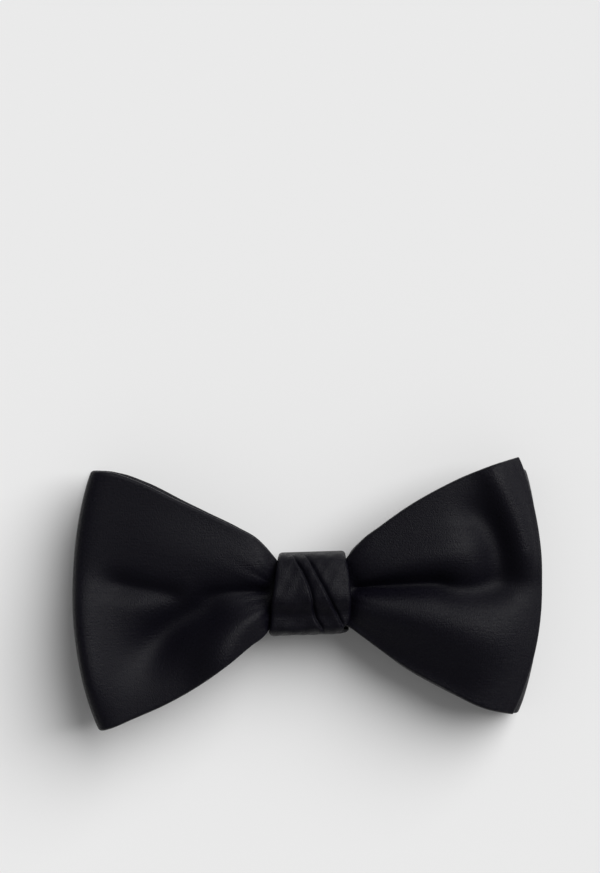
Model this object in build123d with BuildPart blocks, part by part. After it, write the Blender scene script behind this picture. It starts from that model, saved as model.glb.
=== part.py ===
"""Clip-on butterfly bow tie in black satin, lying on its back.

+X runs along the bow towards its right wing, +Y towards the edge that is uppermost when the bow is worn,
and +Z out of its front. The origin is on the surface that the bow lies on, under the middle of the bow.

Two blades of cloth make the bow. Each is a face panel and a back panel of satin with an interlining
between them. The front blade is folded into a loop at the left and ends in one layer at the right. The
rear blade lies behind it the other way round. A knot band goes once round both waists and round the plate
of a sprung metal clip, whose two jaws grip a collar.
"""
from build123d import *
from math import cos, radians, sin, tan
import os

os.makedirs("parts", exist_ok=True)

# Plan of a wing, in millimetres, for the right-hand wing of the front blade
WAIST_HALF = 8.0  # half height of the gathered cloth inside the knot
WAIST_X = 10.0  # the gathered waist ends here
WING_EDGE = [(12.2, 11.3), (19.0, 16.8), (30.0, 23.6), (42.0, 29.4), (54.6, 33.0)]
PAST_END = (11.0, 2.1)  # the cutting outline runs on past the wing's corner
END_RADIUS = 103.0  # radius of a wing's curved end, seen from the front
FRONT_SCALE, REAR_SCALE = 1.0, 0.945  # how far each blade's wings flare, as a share of WING_EDGE
FRONT_TURN, REAR_TURN = 0.0, -1.5  # the blades lie slightly turned from each other, in degrees

# Layers of cloth, measured from the middle of a blade
INTERLINING_OUT = 0.3
SATIN_IN = 0.35
SATIN_OUT = 0.8
SEAM = 1.2  # width of the face panel's turned-in edge
EASE = 0.05  # room between two layers that lie together

# Heights of the four layers at the waist, to the middle of each
REAR_MAIN, REAR_RETURN, FRONT_RETURN, FRONT_MAIN = 9.1, 11.3, 13.5, 15.7
LAP = 3.0  # the halves of a blade overlap this far past the middle before they are joined
RETURN_END = 7.0  # a loop's return layer runs this far past the middle of the knot
LAID = SATIN_OUT  # middle of a layer that lies on the surface
FLAT, SOFT, FOLD = 10.0, 16.0, 3.3  # radii of the bends along a blade

# Middle line of each half blade in the XZ plane, mirrored to +X, from its start to its end
FRONT_LOOP = [
    (-RETURN_END, FRONT_RETURN),
    (13.5, FRONT_RETURN),
    (34.0, 10.6),
    (57.6, 9.4),
    (57.6, 16.9),
    (37.0, 18.6),
    (13.5, FRONT_MAIN),
    (-LAP, FRONT_MAIN),
]
REAR_LOOP = [
    (-RETURN_END, REAR_RETURN),
    (13.5, REAR_RETURN),
    (40.0, 12.2),
    (59.2, 8.6),
    (59.2, LAID),
    (44.5, LAID),
    (26.5, 9.0),
    (13.5, REAR_MAIN),
    (-LAP, REAR_MAIN),
]
FRONT_END = [(-LAP, FRONT_MAIN), (13.5, FRONT_MAIN), (35.0, 18.7), (49.0, 17.4), (59.0, 14.8)]
REAR_END = [(-LAP, REAR_MAIN), (13.5, REAR_MAIN), (26.5, 9.0), (44.5, LAID), (60.0, LAID)]

# Knot
KNOT_PLAN = [(-7.2, 10.6), (10.1, 10.6), (10.4, -10.6), (-10.1, -10.6)]
KNOT_LOW, KNOT_HIGH, KNOT_HALF = 5.5, 21.0, 10.3
KNOT_FRONT_CORNER, KNOT_REAR_CORNER = 5.5, 3.0
BAND = 1.25  # whole thickness of the knot band
BAND_SATIN = 0.5
BAND_SEAM = 0.8
PAD_LENGTH, PAD_HALF, PAD_LOW, PAD_HIGH = 14.0, 7.3, 17.1, 19.5
PAD_CORNER, PAD_PLAN_CORNER = 2.1, 1.5
THREAD = 0.4
THREAD_TURNS, THREAD_PITCH = 4, 0.7
THREAD_HALF, THREAD_LOW, THREAD_HIGH, THREAD_CORNER = 8.5, 7.98, 16.76, 0.5
STITCH = 0.3
STITCH_COUNT, STITCH_PITCH, STITCH_RISE, STITCH_Y = 8, 1.9, 1.4, -6.6

# Clip
HINGE_X, HINGE_Z = 14.5, 4.6
PLATE, PLATE_LOW = 0.8, 6.85
PLATE_LENGTH, PLATE_WIDTH, PLATE_CORNER = 50.0, 11.4, 3.0
SLOT_X, SLOT_LENGTH, SLOT_WIDTH = 20.5, 5.0, 1.6
EAR_INNER, EAR_RADIUS = 4.9, 1.6
JAW_LINE = [(5.2, 1.4), (7.0, 1.0), (12.5, 1.9), (17.5, 2.3), (21.2, 4.4), (24.8, 6.15)]
JAW_BENDS = [1.5, 4.0, 3.0, 3.0]
JAW_SHEET = 0.7
JAW_HALF = 4.8
CHEEK = 0.6
CHEEK_PLAN = [(11.8, 1.85), (18.2, 2.75), (16.0, 5.2), (13.0, 5.2)]
TOOTH_COUNT, TOOTH = 6, 0.8
THUMB_CORNER = 2.0
PIN, EAR_HOLE, JAW_HOLE = 0.75, 0.77, 0.8
HEAD_RADIUS, HEAD = 1.3, 0.5
WIRE, COIL, COIL_PITCH, COIL_TURNS = 0.5, 1.6, 0.6, 4
PLATE_LEG = (5.0, 3.0)  # slope in degrees, and length, of the spring's leg along the plate
JAW_LEG = (10.0, 6.4)  # and of its leg along the jaw


def rounded_line(points, radii, shift):
    """Draw a line with rounded corners, moved to its own left by shift, and return its two ends.

    Each bend keeps its centre when the line is moved, so lines with different shifts stay parallel.
    """
    points = [Vector(*point) for point in points]
    ways = [(after - before).normalized() for before, after in zip(points, points[1:])]
    lefts = [Vector(-way.Y, way.X) for way in ways]
    first = here = points[0] + lefts[0] * shift
    for corner, before, after, left, next_left, radius in zip(
        points[1:], ways, ways[1:], lefts, lefts[1:], radii
    ):
        corner += (left + next_left) * (shift / (1 + left.dot(next_left)))
        turn = radians(before.get_angle(after))
        inward = 1 if left.dot(after) > 0 else -1
        reach = (radius - inward * shift) * tan(turn / 2)
        start, end = corner - before * reach, corner + after * reach
        Line(here, start)
        TangentArc(start, end, tangent=before)
        here = end
    last = points[-1] + lefts[-1] * shift
    Line(here, last)
    return first, last


def layer(points, radii, low, high):
    """Fill the space between two parallel lines, at distances low and high from the line given."""
    with BuildLine() as boundary:
        first_low, last_low = rounded_line(points, radii, low)
        first_high, last_high = rounded_line(points, radii, high)
        Line(first_low, first_high)
        Line(last_low, last_high)
    make_face(boundary.edges())


def shortened(points, at_start, at_end):
    """Return the points with the two ends pulled in by the given lengths."""
    start, after = Vector(*points[0]), Vector(*points[1])
    end, before = Vector(*points[-1]), Vector(*points[-2])
    start += (after - start).normalized() * at_start
    end += (before - end).normalized() * at_end
    return [(start.X, start.Y)] + points[1:-1] + [(end.X, end.Y)]


def wing_edge(scale, inset):
    """Return a wing's upper edge, from the waist outwards, moved inwards by the inset."""
    edge = [Vector(WAIST_X, WAIST_HALF)]
    edge += [Vector(x, WAIST_HALF + (y - WAIST_HALF) * scale) for x, y in WING_EDGE]
    moved = [edge[0] + Vector(inset / 2, -inset)]
    for before, point, after in zip(edge, edge[1:], edge[2:] + edge[-1:]):
        way = (after - before).normalized()
        moved.append(point + Vector(way.Y, -way.X) * inset)
    return moved


def half_blade(points, radii, low, high, scale, inset, at_start, at_end):
    """Build one layer of one half blade on the +X side.

    The layer's side profile is turned about an upright axis, so the wing's end is curved in plan, and is
    then cut to the wing's outline, inset by the given amount.
    """
    with BuildPart() as half:
        with BuildSketch(Plane.XZ):
            layer(shortened(points, at_start, at_end), radii, low, high)
        revolve(axis=Axis((60.0 - END_RADIUS, 0, 0), (0, 0, 1)))
        with BuildSketch():
            edge = wing_edge(scale, inset)
            with BuildLine():
                wing = Spline(*edge, tangents=[(0.6, 0.8), (1, 0.19)])
                waist = Line((-RETURN_END - 2, edge[0].Y), wing @ 0)
                past = Line(wing @ 1, (wing @ 1) + PAST_END)
                mirror(about=Plane.XZ)
                Line(waist @ 0, (-RETURN_END - 2, -edge[0].Y))
                Line(past @ 1, ((past @ 1).X, -(past @ 1).Y))
            make_face()
        extrude(amount=40, mode=Mode.INTERSECT)
    return half.part


def blade_layer(loop, loop_radii, end, end_radii, loop_side, low, high, scale, turn, inset=0.0):
    """Build one layer of a whole blade, with its loop on the side given (-1 or 1)."""
    looped = half_blade(loop, loop_radii, low, high, scale, inset, inset, 0)
    single = half_blade(end, end_radii, -high, -low, scale, inset, 0, inset)
    if loop_side < 0:
        looped = looped.mirror(Plane.YZ)
    else:
        single = single.mirror(Plane.YZ)
    with BuildPart() as joined:
        add(looped, rotation=(0, 0, turn))
        add(single, rotation=(0, 0, turn))
    return joined.part


# Front blade
FRONT = (FRONT_LOOP, [FLAT, SOFT, FOLD, FOLD, SOFT, FLAT], FRONT_END, [FLAT, SOFT, SOFT], -1)
FRONT_LIE = (FRONT_SCALE, FRONT_TURN)
front_whole = blade_layer(*FRONT, -SATIN_OUT, INTERLINING_OUT, *FRONT_LIE)
front_core = blade_layer(*FRONT, -SATIN_IN, SATIN_IN + EASE, *FRONT_LIE, SEAM - EASE)
front_middle = blade_layer(*FRONT, -INTERLINING_OUT, INTERLINING_OUT, *FRONT_LIE, SEAM)
front_reverse = blade_layer(*FRONT, SATIN_IN, SATIN_OUT, *FRONT_LIE)

with BuildPart() as front_blade_face:
    add(front_whole)
    add(front_core, mode=Mode.SUBTRACT)

with BuildPart() as front_blade_interlining:
    add(front_middle)

with BuildPart() as front_blade_back:
    add(front_reverse)

# Rear blade
REAR = (REAR_LOOP, [FLAT, SOFT, FOLD, FOLD, FLAT, FLAT, FLAT], REAR_END, [FLAT, FLAT, FLAT], 1)
REAR_LIE = (REAR_SCALE, REAR_TURN)
rear_whole = blade_layer(*REAR, -INTERLINING_OUT, SATIN_OUT, *REAR_LIE)
rear_core = blade_layer(*REAR, -SATIN_IN - EASE, SATIN_IN, *REAR_LIE, SEAM - EASE)
rear_middle = blade_layer(*REAR, -INTERLINING_OUT, INTERLINING_OUT, *REAR_LIE, SEAM)
rear_reverse = blade_layer(*REAR, -SATIN_OUT, -SATIN_IN, *REAR_LIE)

with BuildPart() as rear_blade_face:
    add(rear_whole)
    add(rear_core, mode=Mode.SUBTRACT)

with BuildPart() as rear_blade_interlining:
    add(rear_middle)

with BuildPart() as rear_blade_back:
    add(rear_reverse)


def ring_section(inset):
    """Draw the knot's rounded outline in the YZ plane, inset by the given amount, and fill it."""
    low, high, half = KNOT_LOW + inset, KNOT_HIGH - inset, KNOT_HALF - inset
    front, rear = KNOT_FRONT_CORNER - inset, KNOT_REAR_CORNER - inset
    with BuildLine() as boundary:
        FilletPolyline(
            (half, low), (half, high), (-half, high), (-half, low),
            radius=[rear, front, front, rear], close=True,
        )
    make_face(boundary.edges())


def knot_ring(outer, inner, seam):
    """Build a ring of the knot between two insets, its ends cut to the knot's plan less the seam."""
    with BuildPart() as ring:
        with BuildSketch(Plane.YZ):
            ring_section(outer)
        extrude(amount=12, both=True)
        with BuildSketch(Plane.YZ):
            ring_section(inner)
        extrude(amount=12, both=True, mode=Mode.SUBTRACT)
        with BuildSketch():
            with BuildLine():
                Polyline(
                    *[(x - seam if x > 0 else x + seam, y) for x, y in KNOT_PLAN], close=True
                )
            make_face()
        extrude(amount=30, mode=Mode.INTERSECT)
    return ring.part


# Knot: the band's satin turns in round the edges of its interlining
band_whole = knot_ring(0, BAND, 0)
band_core = knot_ring(BAND_SATIN, BAND + EASE, BAND_SEAM - EASE)
band_middle = knot_ring(BAND_SATIN + EASE, BAND, BAND_SEAM)

with BuildPart() as knot_band:
    add(band_whole)
    add(band_core, mode=Mode.SUBTRACT)

with BuildPart() as knot_band_interlining:
    add(band_middle)

with BuildPart() as knot_pad:
    with BuildSketch(Plane.YZ):
        with BuildLine():
            FilletPolyline(
                (PAD_HALF, PAD_LOW), (PAD_HALF, PAD_HIGH), (-PAD_HALF, PAD_HIGH), (-PAD_HALF, PAD_LOW),
                radius=[0.15, PAD_CORNER, PAD_CORNER, 0.15], close=True,
            )
        make_face()
    extrude(amount=PAD_LENGTH / 2, both=True)
    with BuildSketch(Plane.XY.offset(PAD_LOW)):
        RectangleRounded(PAD_LENGTH, 2 * PAD_HALF, PAD_PLAN_CORNER)
    extrude(amount=PAD_HIGH - PAD_LOW, mode=Mode.INTERSECT)

# One length of thread, wound round both waists and drawn tight
turns = []
for number in range(THREAD_TURNS):
    x = (number - (THREAD_TURNS - 1) / 2) * THREAD_PITCH
    turns += [
        (x, -THREAD_HALF, THREAD_LOW),
        (x, -THREAD_HALF, THREAD_HIGH),
        (x, THREAD_HALF, THREAD_HIGH),
        (x, THREAD_HALF, THREAD_LOW),
    ]
with BuildPart() as waist_thread:
    with BuildLine() as wound:
        FilletPolyline(*turns, radius=THREAD_CORNER)
    with BuildSketch(Plane(origin=wound.line @ 0, z_dir=wound.line % 0)):
        Circle(THREAD / 2)
    sweep(path=wound.line)

# Whip stitches that close the band behind, as one zigzag thread on its rear face
zigzag = []
for number in range(STITCH_COUNT + 1):
    x = (number - STITCH_COUNT / 2) * STITCH_PITCH
    zigzag.append((x, STITCH_Y + (STITCH_RISE / 2 if number % 2 else -STITCH_RISE / 2)))
with BuildPart() as knot_closure_stitches:
    with BuildLine(Plane.XY.offset(KNOT_LOW - STITCH / 2 - 0.02)) as stitched:
        FilletPolyline(*zigzag, radius=0.4)
    with BuildSketch(Plane(origin=stitched.line @ 0, z_dir=stitched.line % 0)):
        Circle(STITCH / 2)
    sweep(path=stitched.line)

# Clip: a stamped plate with four ears
with BuildPart() as clip_base:
    with BuildSketch(Plane.XY.offset(PLATE_LOW)):
        RectangleRounded(PLATE_LENGTH, PLATE_WIDTH, PLATE_CORNER)
        with Locations((SLOT_X, 0), (-SLOT_X, 0)):
            SlotOverall(SLOT_LENGTH, SLOT_WIDTH, mode=Mode.SUBTRACT)
    extrude(amount=PLATE)
    for side in (-1, 1):
        with BuildSketch(Plane.XZ.offset(-side * EAR_INNER)):
            with Locations((HINGE_X, HINGE_Z), (-HINGE_X, HINGE_Z)):
                Circle(EAR_RADIUS)
                Rectangle(2 * EAR_RADIUS, PLATE_LOW - HINGE_Z + PLATE / 2, align=(Align.CENTER, Align.MIN))
                Circle(EAR_HOLE, mode=Mode.SUBTRACT)
        extrude(amount=-side * (PLATE_WIDTH / 2 - EAR_INNER))

# Right-hand jaw: a lever with a thumb pad, two cheeks on the pin and a row of teeth
with BuildPart() as right_jaw:
    with BuildSketch(Plane.XZ):
        layer(JAW_LINE, JAW_BENDS, -JAW_SHEET / 2, JAW_SHEET / 2)
    extrude(amount=JAW_HALF, both=True)
    with BuildSketch():
        start, end = JAW_LINE[0][0] - 0.5, JAW_LINE[-1][0] + 0.5
        pitch = 2 * JAW_HALF / TOOTH_COUNT
        tips = []
        for number in range(TOOTH_COUNT):
            tips += [
                (end, -JAW_HALF + pitch * (number + 0.25)),
                (end, -JAW_HALF + pitch * (number + 0.5)),
                (end - TOOTH - 0.5, -JAW_HALF + pitch * (number + 0.75)),
                (end - TOOTH - 0.5, -JAW_HALF + pitch * (number + 0.95)),
            ]
        with BuildLine():
            Polyline((start, -JAW_HALF), *tips[:-2], (end, JAW_HALF), (start, JAW_HALF), close=True)
        make_face()
    extrude(amount=20, mode=Mode.INTERSECT)
    for side in (-1, 1):
        with BuildSketch(Plane.XZ.offset(-side * JAW_HALF)):
            with BuildLine():
                Polyline(*CHEEK_PLAN, close=True)
            make_face()
            with Locations((HINGE_X, HINGE_Z)):
                Circle(EAR_RADIUS)
        extrude(amount=side * CHEEK)
    with Locations(Location((HINGE_X, 0, HINGE_Z), (90, 0, 0))):
        Cylinder(JAW_HOLE, 3 * JAW_HALF, mode=Mode.SUBTRACT)

with BuildPart() as right_hinge_pin:
    with Locations(Location((HINGE_X, 0, HINGE_Z), (90, 0, 0))):
        Cylinder(PIN, PLATE_WIDTH + 2 * HEAD + 0.04)
    for side in (-1, 1):
        with BuildSketch(Plane.XZ.offset(-side * (PLATE_WIDTH / 2 + 0.02))):
            with Locations((HINGE_X, HINGE_Z)):
                Circle(HEAD_RADIUS)
        extrude(amount=-side * HEAD)
    fillet(right_hinge_pin.faces().sort_by(Axis.Y)[-1].edges(), 0.2)
    fillet(right_hinge_pin.faces().sort_by(Axis.Y)[0].edges(), 0.2)

# Right-hand spring: a coil on the pin, one leg along the plate and one along the jaw, both inwards
around = 360 * COIL_TURNS + (90 - PLATE_LEG[0]) + (90 - JAW_LEG[0])
length = COIL_PITCH * around / 360
low_angle = radians(JAW_LEG[0] - 90)
coil_plane = Plane(
    origin=(HINGE_X, length / 2, HINGE_Z),
    x_dir=(cos(low_angle), 0, sin(low_angle)),
    z_dir=(0, -1, 0),
)
coil = coil_plane.location * Helix(COIL_PITCH, length, COIL)
with BuildPart() as right_spring:
    with BuildSketch(Plane(origin=coil @ 0, z_dir=coil % 0)):
        Circle(WIRE / 2)
    sweep(path=coil, is_frenet=True)
    for place, slope, leg in ((0, -JAW_LEG[0], JAW_LEG[1]), (1, PLATE_LEG[0], PLATE_LEG[1])):
        way = Vector(-cos(radians(slope)), 0, sin(radians(slope)))
        with BuildSketch(Plane(origin=(coil @ place) - way * 0.1, z_dir=way)):
            Circle(WIRE / 2)
        extrude(amount=leg + 0.1)

with BuildPart() as left_jaw:
    add(right_jaw.part.mirror(Plane.YZ))

with BuildPart() as left_hinge_pin:
    add(right_hinge_pin.part.mirror(Plane.YZ))

with BuildPart() as left_spring:
    add(right_spring.part.mirror(Plane.YZ))

front_blade_face.part.label = "front_blade_face"
export_step(front_blade_face.part, "parts/front_blade_face.step")
front_blade_interlining.part.label = "front_blade_interlining"
export_step(front_blade_interlining.part, "parts/front_blade_interlining.step")
front_blade_back.part.label = "front_blade_back"
export_step(front_blade_back.part, "parts/front_blade_back.step")
rear_blade_face.part.label = "rear_blade_face"
export_step(rear_blade_face.part, "parts/rear_blade_face.step")
rear_blade_interlining.part.label = "rear_blade_interlining"
export_step(rear_blade_interlining.part, "parts/rear_blade_interlining.step")
rear_blade_back.part.label = "rear_blade_back"
export_step(rear_blade_back.part, "parts/rear_blade_back.step")
knot_band.part.label = "knot_band"
export_step(knot_band.part, "parts/knot_band.step")
knot_band_interlining.part.label = "knot_band_interlining"
export_step(knot_band_interlining.part, "parts/knot_band_interlining.step")
knot_pad.part.label = "knot_pad"
export_step(knot_pad.part, "parts/knot_pad.step")
waist_thread.part.label = "waist_thread"
export_step(waist_thread.part, "parts/waist_thread.step")
knot_closure_stitches.part.label = "knot_closure_stitches"
export_step(knot_closure_stitches.part, "parts/knot_closure_stitches.step")
clip_base.part.label = "clip_base"
export_step(clip_base.part, "parts/clip_base.step")
left_jaw.part.label = "left_jaw"
export_step(left_jaw.part, "parts/left_jaw.step")
right_jaw.part.label = "right_jaw"
export_step(right_jaw.part, "parts/right_jaw.step")
left_hinge_pin.part.label = "left_hinge_pin"
export_step(left_hinge_pin.part, "parts/left_hinge_pin.step")
right_hinge_pin.part.label = "right_hinge_pin"
export_step(right_hinge_pin.part, "parts/right_hinge_pin.step")
left_spring.part.label = "left_spring"
export_step(left_spring.part, "parts/left_spring.step")
right_spring.part.label = "right_spring"
export_step(right_spring.part, "parts/right_spring.step")
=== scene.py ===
"""Looks for a clip-on butterfly bow tie of black satin, lying on its back on a pale floor.

Every length in this file is in millimetres until a mesh is made, and then in metres. X runs along the bow,
Y towards the edge that is uppermost when it is worn, and Z out of its front.

A blade is a ribbon that runs along a side line in the XZ plane and is as tall as the wing's outline. Its
folds are soft strokes: each is a curved line, drawn on the wing seen from the front, that lifts or sinks the
cloth by a bell-shaped amount. Panels are shells at set distances from the ribbon, joined at a rolled seam.
"""
import bpy
import numpy as np
from bpy.props import FloatProperty, FloatVectorProperty, IntProperty, PointerProperty
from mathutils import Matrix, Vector


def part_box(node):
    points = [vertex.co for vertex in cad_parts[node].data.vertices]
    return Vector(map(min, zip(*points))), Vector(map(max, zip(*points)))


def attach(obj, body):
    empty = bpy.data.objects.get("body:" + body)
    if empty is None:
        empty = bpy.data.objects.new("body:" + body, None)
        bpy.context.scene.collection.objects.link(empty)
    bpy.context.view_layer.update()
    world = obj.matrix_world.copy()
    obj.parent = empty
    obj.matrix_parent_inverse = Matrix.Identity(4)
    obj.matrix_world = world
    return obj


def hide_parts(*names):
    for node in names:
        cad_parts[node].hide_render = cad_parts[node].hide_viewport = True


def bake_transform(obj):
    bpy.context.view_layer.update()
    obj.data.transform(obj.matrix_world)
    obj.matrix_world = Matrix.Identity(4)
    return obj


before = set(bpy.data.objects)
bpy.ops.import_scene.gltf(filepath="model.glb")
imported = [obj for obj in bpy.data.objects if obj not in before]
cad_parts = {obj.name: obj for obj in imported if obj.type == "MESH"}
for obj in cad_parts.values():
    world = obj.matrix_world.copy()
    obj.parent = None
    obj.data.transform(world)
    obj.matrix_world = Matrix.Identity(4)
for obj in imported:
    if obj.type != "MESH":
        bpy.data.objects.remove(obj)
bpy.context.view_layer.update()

bl_info = {
    "name": "Satin bow tie",
    "version": (1, 0, 0),
    "blender": (4, 5, 0),
    "location": "View3D > Sidebar > Bow tie",
    "description": "Builds a clip-on satin bow tie round its packed frame",
    "category": "Add Mesh",
}

MM = 0.001
TAU = 2 * np.pi

# Layers, from the middle of a blade: the interlining's half thickness, and each panel's inside and outside
INTERLINING_HALF, PANEL_IN, PANEL_OUT = 0.22, 0.44, 0.8
# The seam's height at the rim, how far the interlining stops short of it, and the width of each roll
SEAM_LEVEL, SEAM_INSET = -0.28, 1.2
RIM_ROLL, LINING_ROLL, INTERLINING_ROLL = 0.9, 1.3, 0.3
# Puckers beside the seam: height, spacing along it, distance from the rim and breadth
PUCKER, PUCKER_SPACING, PUCKER_PLACE, PUCKER_BREADTH = 0.05, 2.4, 1.6, 0.9
# The lowest that the rear blade's middle comes, so that its panel just touches the floor
REST_HEIGHT = 0.86

# The knot's sides in plan are straight lines x = middle + slope * y
KNOT_LEFT, KNOT_LEFT_SLOPE = -8.65, 0.141
KNOT_RIGHT, KNOT_RIGHT_SLOPE = 10.2, -0.015
# Heights from the knot's outer surface, all below it: the satin's tucked edge, its inside and the middle of
# the interlining, then the interlining's half thickness and how far it stops short of each side
KNOT_EDGE, KNOT_IN, KNOT_LINING = -0.95, -0.5, -0.98
KNOT_LINING_HALF, KNOT_LINING_INSET = 0.2, 1.6
# Typical widths of the knot's two sheets when they are laid flat
KNOT_WIDTH, KNOT_LINING_WIDTH = 19.3, 16.0
# The pad's shift from the middle of its CAD box, and its share of that box's size
PAD_SHIFT, PAD_SHARE = [0, 1.2, -0.62], [0.85, 0.6, 0.45]

# Half the width of the bow, and half the height of the gathered waist
HALF_WIDTH, WAIST = 60.0, 8.0
# Rows set closer together at each end of a blade, and the length that they take
END_ROWS, END_LENGTH = 30, 12

# Wing outlines: half height against distance from the middle of the bow
LEFT_TOP = [
    (0, 8.0), (5.4, 8.0), (7.4, 8.4), (8.7, 10.3), (12, 14.1), (17, 17.3), (24.5, 21.2),
    (32, 24.9), (42, 30.0), (49, 32.5), (54.4, 33.1), (62, 33.6),
]
LEFT_BOTTOM = [
    (0, 8.0), (8.4, 8.0), (9.9, 8.4), (11.2, 10.0), (15, 12.7), (20.4, 16.8), (28, 22.1),
    (36, 26.4), (46.4, 30.6), (51, 32.3), (54.6, 33.2), (62, 34.0),
]
RIGHT_TOP = [
    (0, 8.0), (8.4, 8.0), (10.2, 8.4), (11.3, 10.3), (13.8, 13.1), (19, 16.9), (24.3, 20.5),
    (34.7, 26.2), (45, 30.6), (54.8, 33.3), (62, 34.8),
]
RIGHT_BOTTOM = [
    (0, 8.0), (8.6, 8.1), (10.6, 9.0), (13.1, 10.9), (18, 14.8), (23, 18.6),
    (33, 24.6), (43, 29.4), (52.7, 32.0), (62, 33.6),
]

# Side lines, as control points (x, z), from the end of the loop's return layer to the single end
FRONT_LINE = [
    (7, 13.5), (-6, 13.5), (-15, 13.3), (-26, 11.6), (-38, 10.4), (-50, 9.7), (-58.4, 9.2), (-59.0, 12.2),
    (-58.9, 17.9), (-56.2, 18.9), (-50, 18.8), (-37, 19.0), (-24, 18.6), (-14, 17.9), (-10.2, 15.9),
    (-7, 15.4), (7, 15.4), (10.8, 15.9), (14.4, 17.9), (24, 18.7), (36, 19.1), (48, 18.4), (54.5, 17.2),
    (59.8, 14.2),
]
REAR_LINE = [
    (-7, 11.3), (6, 11.3), (16, 11.8), (28, 12.3), (40, 11.9), (50, 10.8), (58.4, 9.4), (60.0, 4.8),
    (58.6, 0.7), (52, 0.8), (44, 1.2), (35, 5.0), (27, 8.6), (18, 9.3), (9, 9.1), (-9, 9.1),
    (-18, 9.3), (-27, 8.6), (-35, 5.0), (-44, 1.2), (-52, 0.8), (-60.2, 0.8),
]

# Folds of the front: start, middle, end of each line, lift at its start and end, half width at both
LEFT_FOLDS = [
    (-6, 0.9, -16, 1.3, -27, 0.8, -2.6, -1.2, 1.8, 2.8),
    (-33, 1.4, -41, 2.0, -51, 4.6, -1.6, -2.2, 2.4, 3.6),
    (-23, -2.4, -36, -4.0, -42, -16, -2.8, -6.2, 4.0, 7.0),
    (-10, -5.2, -21, -6.0, -24, -20, 2.0, 5.6, 2.8, 6.4),
    (-58.2, 2, -60.0, -9, -56, -27, 2.8, 4.6, 6.0, 8.0),
    (-9, 7.0, -20, 9, -42, 14, 1.4, 1.0, 3.6, 9.0),
]
RIGHT_FOLDS = [
    (6, 1.0, 20, 1.6, 35, 2.0, -2.6, -3.6, 1.7, 3.2),
    (34, 0.6, 42, -1.0, 53, 1.2, -2.4, -2.8, 3.6, 4.2),
    (41, 21, 50, 13, 48, 2, -2.0, -3.6, 4.2, 5.2),
    (46.5, 31, 54.5, 18, 56.2, 5, 2.8, 3.0, 3.8, 4.0),
    (14, 6.0, 28, 8, 43, 10, 0.8, 3.0, 3.6, 7.0),
    (12, -3.2, 28, -5, 50, -14, 1.8, 3.4, 3.0, 8.5),
    (14, -12, 24, -20, 40, -27, -1.8, -2.2, 4.0, 6.0),
]
# Folds of the layers behind, which are pinched the same way but are quieter
BACK_FOLDS = [
    (-10, 0.5, -25, 0, -44, 2, 1.0, 0.8, 2.2, 6.0),
    (10, 0.5, 25, 0, 44, -2, 1.0, 0.8, 2.2, 6.0),
    (-16, -11, -28, -14, -42, -18, -0.9, -0.7, 4.0, 7.0),
    (16, 11, 28, 14, 42, 18, -0.9, -0.7, 4.0, 7.0),
    (-30, 12, -40, 16, -48, 24, 0.9, 0.6, 5.0, 7.0),
    (30, -12, 40, -15, 47, -22, 0.9, 0.6, 5.0, 7.0),
]

# Knot: the section as control points (y, z), then each fold's line as (distance from the front's middle, x)
KNOT_SECTION = [
    (0, 5.5), (-5, 5.5), (-9.2, 5.5), (-10.5, 6.6), (-10.7, 10.5), (-10.5, 15.0), (-10.0, 17.6),
    (-8.7, 19.0), (-6.6, 19.1), (-4.8, 19.2), (-2.3, 21.0), (-0.2, 21.4), (2.6, 20.9), (5.2, 20.2),
    (7.9, 19.3), (9.7, 17.6), (10.4, 14.5), (10.5, 10.0), (10.3, 6.4), (9.0, 5.5), (5, 5.5),
]
KNOT_FOLD_ONE = [
    (-14, -4.6), (-8.5, -2.7), (-5.4, -1.2), (-1.5, 0.2), (1.5, 0.8), (4.3, 0.95), (6.4, 1.4), (9, 2.8),
    (14, 4.6),
]
KNOT_FOLD_TWO = [
    (-14, -1.9), (-9, 0.35), (-6.1, 1.6), (-1.2, 4.0), (1.6, 5.2), (4.4, 6.3), (6.9, 7.4), (9.3, 8.6),
    (14, 9.2),
]

# Springs: the hinge's place, the coil's radius, the wire's radius, the pitch, and each leg's length and slope
HINGE_X, HINGE_Z, COIL_RADIUS, WIRE_RADIUS, COIL_PITCH = 14.5, 4.6, 1.6, 0.25, 0.6
JAW_LEG, JAW_SLOPE, PLATE_LEG, PLATE_SLOPE = 6.4, np.radians(10), 3.0, np.radians(5)

# Stage, in metres: half the floor's side, the way to the key light, the camera's place and its roll
FLOOR_HALF = 4.0
KEY_WAY = (0.54, 0.46, 0.707)
CAMERA_X, CAMERA_Y, CAMERA_ROLL = -0.00068, 0.04009, np.radians(-1.77)


class SatinSettings(bpy.types.PropertyGroup):
    """Colour and surface of the black satin and of what is sewn inside it."""

    colour: FloatVectorProperty(
        name="Satin colour", description="Colour of the black satin", subtype="COLOR", size=3,
        default=(0.0022, 0.0019, 0.0044), min=0, max=1,
    )
    gloss: FloatProperty(
        name="Satin gloss", description="Strength of the satin's shine", subtype="FACTOR",
        default=0.12, min=0, max=1,
    )
    roughness: FloatProperty(
        name="Satin roughness", description="Spread of the satin's shine", subtype="FACTOR",
        default=0.44, min=0.1, max=1,
    )
    grain: FloatProperty(
        name="Grain", description="Size of the fine glitter in the weave", subtype="DISTANCE",
        default=0.00032, min=0.00005, max=0.002, precision=5,
    )
    canvas: FloatVectorProperty(
        name="Interlining colour", description="Colour of the canvas between the panels", subtype="COLOR",
        size=3, default=(0.58, 0.55, 0.49), min=0, max=1,
    )


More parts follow.
